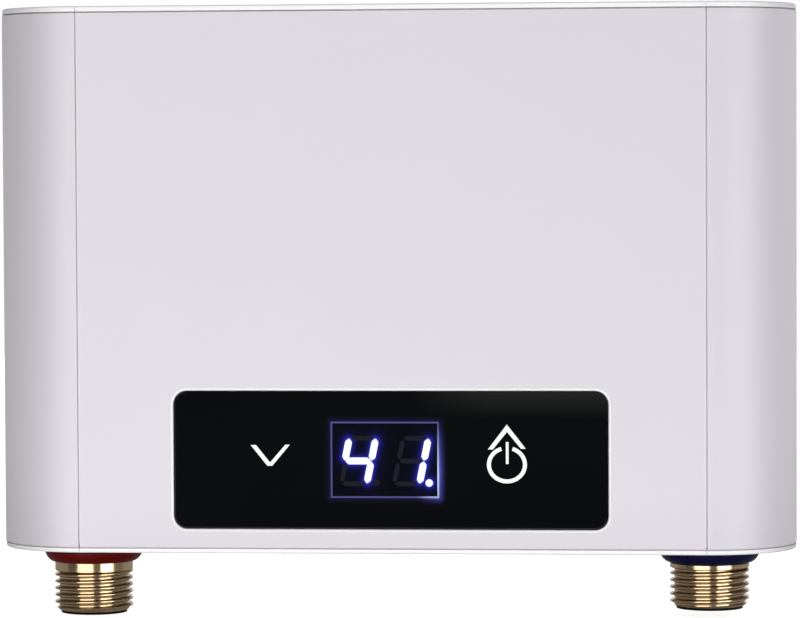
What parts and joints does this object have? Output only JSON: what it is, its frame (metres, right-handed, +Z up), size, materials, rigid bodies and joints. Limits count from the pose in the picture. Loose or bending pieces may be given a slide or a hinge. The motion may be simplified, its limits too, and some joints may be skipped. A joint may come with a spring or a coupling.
{
  "type": "tankless electric water heater",
  "caption": "Flat wall-hung tankless electric water heater with rounded front corners, black touch display with lit digits and threaded brass water connections below.",
  "frame": {"origin": "on the wall plane, behind the middle of the casing's rear face", "axes": "+Z up, +Y into the wall so the front faces -Y, +X to the right as seen from the front"},
  "size_m": [0.211, 0.052, 0.1614],
  "materials": {
    "casing_white": "satin, very fine grain",
    "screw_steel": "zinc plated",
    "display_black": "polished",
    "lit_white": "lit from behind",
    "glow_blue": "clear, lit from its edge",
    "unlit_grey": "tinted",
    "module_black": "fine grain",
    "board_green": "glass fibre board with a green coat",
    "pad_black": "conductive foam",
    "ribbon_grey": "flat cable",
    "fitting_brass": "turned",
    "ring_blue": "moulded",
    "ring_red": "moulded",
    "rubber_black": "smooth",
    "strainer_white": "moulded",
    "sensor_ivory": "moulded",
    "shaft_steel": "ground",
    "rotor_blue": "moulded",
    "magnet_grey": "sintered ferrite",
    "part_black": "moulded epoxy",
    "tube_steel": "drawn tube",
    "cast_aluminium": "as cast",
    "element_grey": "oxidised sheath",
    "terminal_ceramic": "unglazed",
    "cutout_brown": "moulded phenolic",
    "button_red": "moulded",
    "clip_steel": "spring strip",
    "relay_blue": "moulded",
    "can_black": "shrunk sleeve",
    "terminal_ivory": "moulded",
    "lead_red": "silicone covering",
    "lead_grey": "soft covering"
  },
  "bodies": {
    "casing": {"left_side_shell": "casing_white", "right_side_shell": "casing_white", "front_panel": "casing_white", "back_plate": "casing_white", "top_cap": "casing_white", "bottom_cap": "casing_white", "cap_screws": "screw_steel", "plate_screws": "screw_steel", "display_glass": "display_black", "touch_icons": "lit_white", "led_surround": "glow_blue", "led_module": "module_black", "lit_segments": "lit_white", "unlit_segments": "unlit_grey", "display_board": "board_green", "display_board_screws": "screw_steel", "touch_pads": "pad_black", "display_ribbon": "ribbon_grey", "inlet_fitting": "fitting_brass", "outlet_fitting": "fitting_brass", "cold_ring": "ring_blue", "hot_ring": "ring_red", "hose_washers": "rubber_black", "fitting_screws": "screw_steel", "inlet_strainer": "strainer_white", "flow_sensor_body": "sensor_ivory", "rotor_cage": "sensor_ivory", "rotor_shaft": "shaft_steel", "hall_sensor": "part_black", "seals": "rubber_black", "water_tube": "tube_steel", "heating_block": "cast_aluminium", "heating_elements": "element_grey", "element_terminals": "terminal_ceramic", "block_screws": "screw_steel", "thermal_cutout": "cutout_brown", "cutout_screws": "screw_steel", "temperature_probe": "fitting_brass", "probe_clip": "clip_steel", "triac_clamp": "cast_aluminium", "triac": "part_black", "clamp_screw": "screw_steel", "control_board": "board_green", "board_screws": "screw_steel", "relay": "relay_blue", "power_module": "part_black", "capacitors": "can_black", "control_chip": "part_black", "terminal_block": "terminal_ivory", "terminal_screws": "fitting_brass", "heater_leads": "lead_red", "sensor_leads": "lead_grey", "cable_grommet": "rubber_black"},
    "rotor": {"flow_rotor": "rotor_blue", "rotor_magnet": "magnet_grey"},
    "button": {"reset_button": "button_red"}
  },
  "joints": [
    {"name": "rotor_spin", "type": "hinge", "parent": "casing", "child": "rotor", "pos_m": [0.0825, -0.026, -0.0456], "axis": [0, 0, 1], "continuous": true},
    {"name": "reset_press", "type": "slide", "parent": "casing", "child": "button", "axis": [0, 1, 0], "range_m": [0, 0.001], "stiffness_N_per_m": 800}
  ]
}
